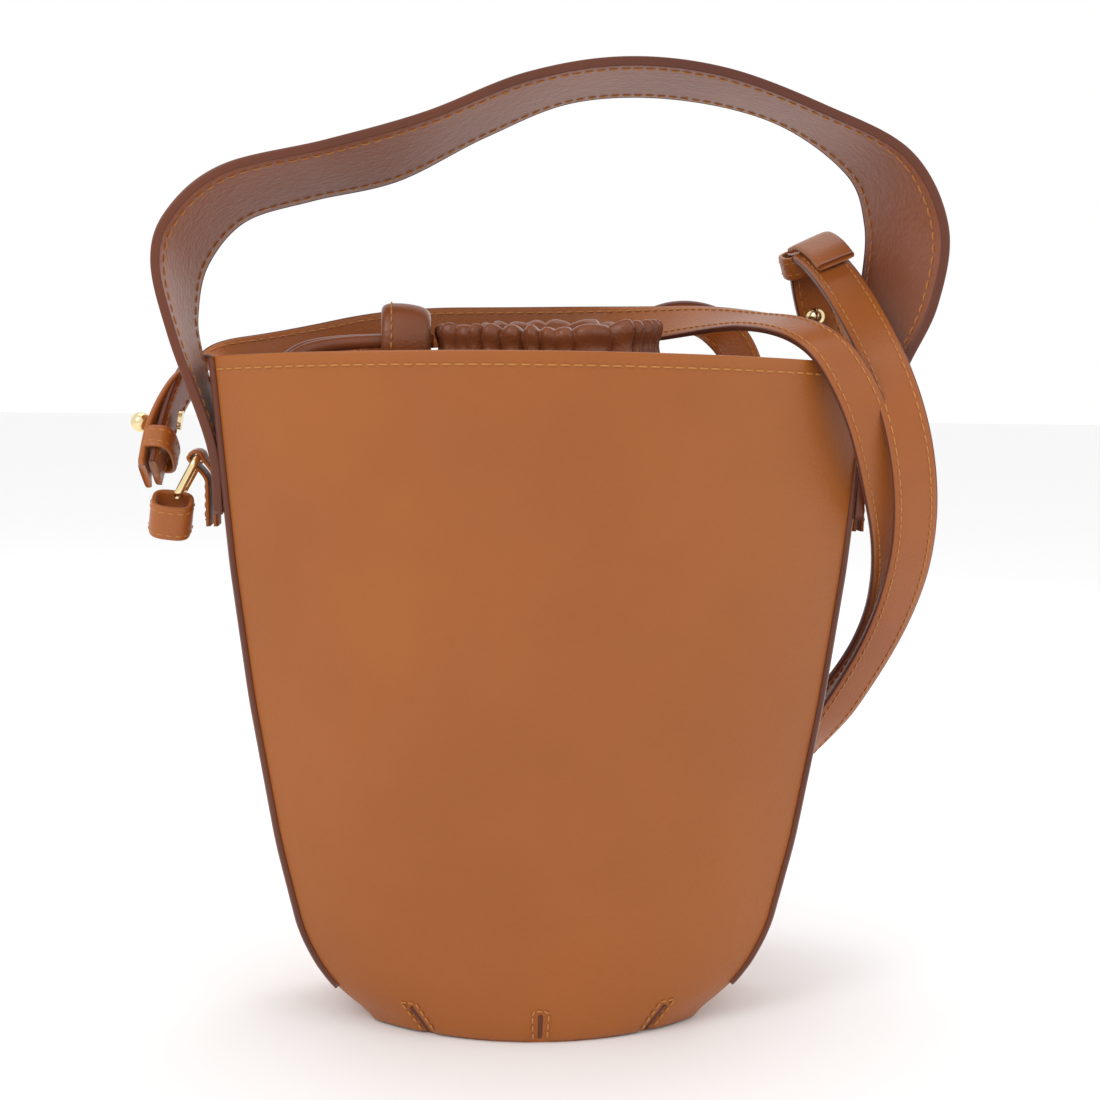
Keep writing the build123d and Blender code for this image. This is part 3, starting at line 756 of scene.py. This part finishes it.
ball_stud("right_ball_stud", "right_stud", (98.3, 34.6, 232.5), (-0.05, -1, 0))
ball_stud("left_ball_stud", "left_stud", (-126.4, 6.2, 193.5), (-1, 0, 0.14))
for node in ("left_stud_screw", "right_stud_screw"):
    coat(node, GOLD)

# A narrow end of the drawstring channel's leather stands up behind the toggle
strip_path = smooth_path([(-36, 9, 212), (-31, 10, 218), (-24, 11, 223.5)], 24)
strip = flat_band("channel_end_strip", strip_path, np.tile([-0.4, 0.6, 0.5], (24, 1)), 5.5, 1.4, SOFT)
settle(strip, "bag", "soft_leather")

# ---------------------------------------------------------------- camera, floor and lights
CAMERA_DISTANCE = 640
CAMERA_HEIGHT = 218
CAMERA_AZIMUTH = math.radians(-4.0)
CAMERA_PITCH = math.radians(5.77)
CAMERA_ROLL = math.radians(0.8)

camera_data = bpy.data.cameras.new("camera")
camera_data.lens = 63.2
camera_data.sensor_width = 36
camera_data.shift_x = 13 / 1100
camera_data.clip_start = 0.01
camera = bpy.data.objects.new("camera", camera_data)
bpy.context.scene.collection.objects.link(camera)
camera.location = Vector((CAMERA_DISTANCE * math.sin(CAMERA_AZIMUTH),
                          -CAMERA_DISTANCE * math.cos(CAMERA_AZIMUTH), CAMERA_HEIGHT)) * MM
look = Vector((-math.sin(CAMERA_AZIMUTH) * math.cos(CAMERA_PITCH),
               math.cos(CAMERA_AZIMUTH) * math.cos(CAMERA_PITCH), -math.sin(CAMERA_PITCH)))
turn = look.to_track_quat("-Z", "Y").to_matrix().to_4x4()
camera.rotation_euler = turn.to_euler()
camera.rotation_euler.rotate_axis("Z", CAMERA_ROLL)
bpy.context.scene.camera = camera

FLOOR_REACH = 6000
FLOOR_TOP = -0.1
floor_material = new_material("floor", (0.93, 0.93, 0.93), 0.9)[0]
floor_corners = [(x * FLOOR_REACH, y * FLOOR_REACH, FLOOR_TOP)
                 for x, y in ((-1, -1), (1, -1), (1, 1), (-1, 1))]
floor = mesh_object("floor", floor_corners, [(0, 1, 2, 3)], floor_material, smooth=False)

world = bpy.data.worlds.new("studio")
world.use_nodes = True
world.node_tree.nodes["Background"].inputs["Color"].default_value = (1, 1, 1, 1)
world.node_tree.nodes["Background"].inputs["Strength"].default_value = 1.0
bpy.context.scene.world = world


def area_light(name, place, target, size, power):
    data = bpy.data.lights.new(name, "AREA")
    data.shape = "DISK"
    data.size = size
    data.energy = power
    lamp = bpy.data.objects.new(name, data)
    lamp.location = place
    lamp.rotation_euler = (Vector(target) - Vector(place)).to_track_quat("-Z", "Y").to_euler()
    bpy.context.scene.collection.objects.link(lamp)


area_light("key", (-0.75, -0.85, 0.95), (0, 0, 0.16), 0.7, 4.5)
area_light("fill", (0.9, -0.6, 0.5), (0, 0, 0.15), 0.9, 0.8)
area_light("top", (0.0, 0.25, 1.3), (0, 0, 0.15), 1.0, 2.5)
area_light("back", (0.6, 0.9, 0.6), (0, 0, 0.15), 0.8, 1.5)
bpy.context.scene.view_settings.view_transform = "Standard"
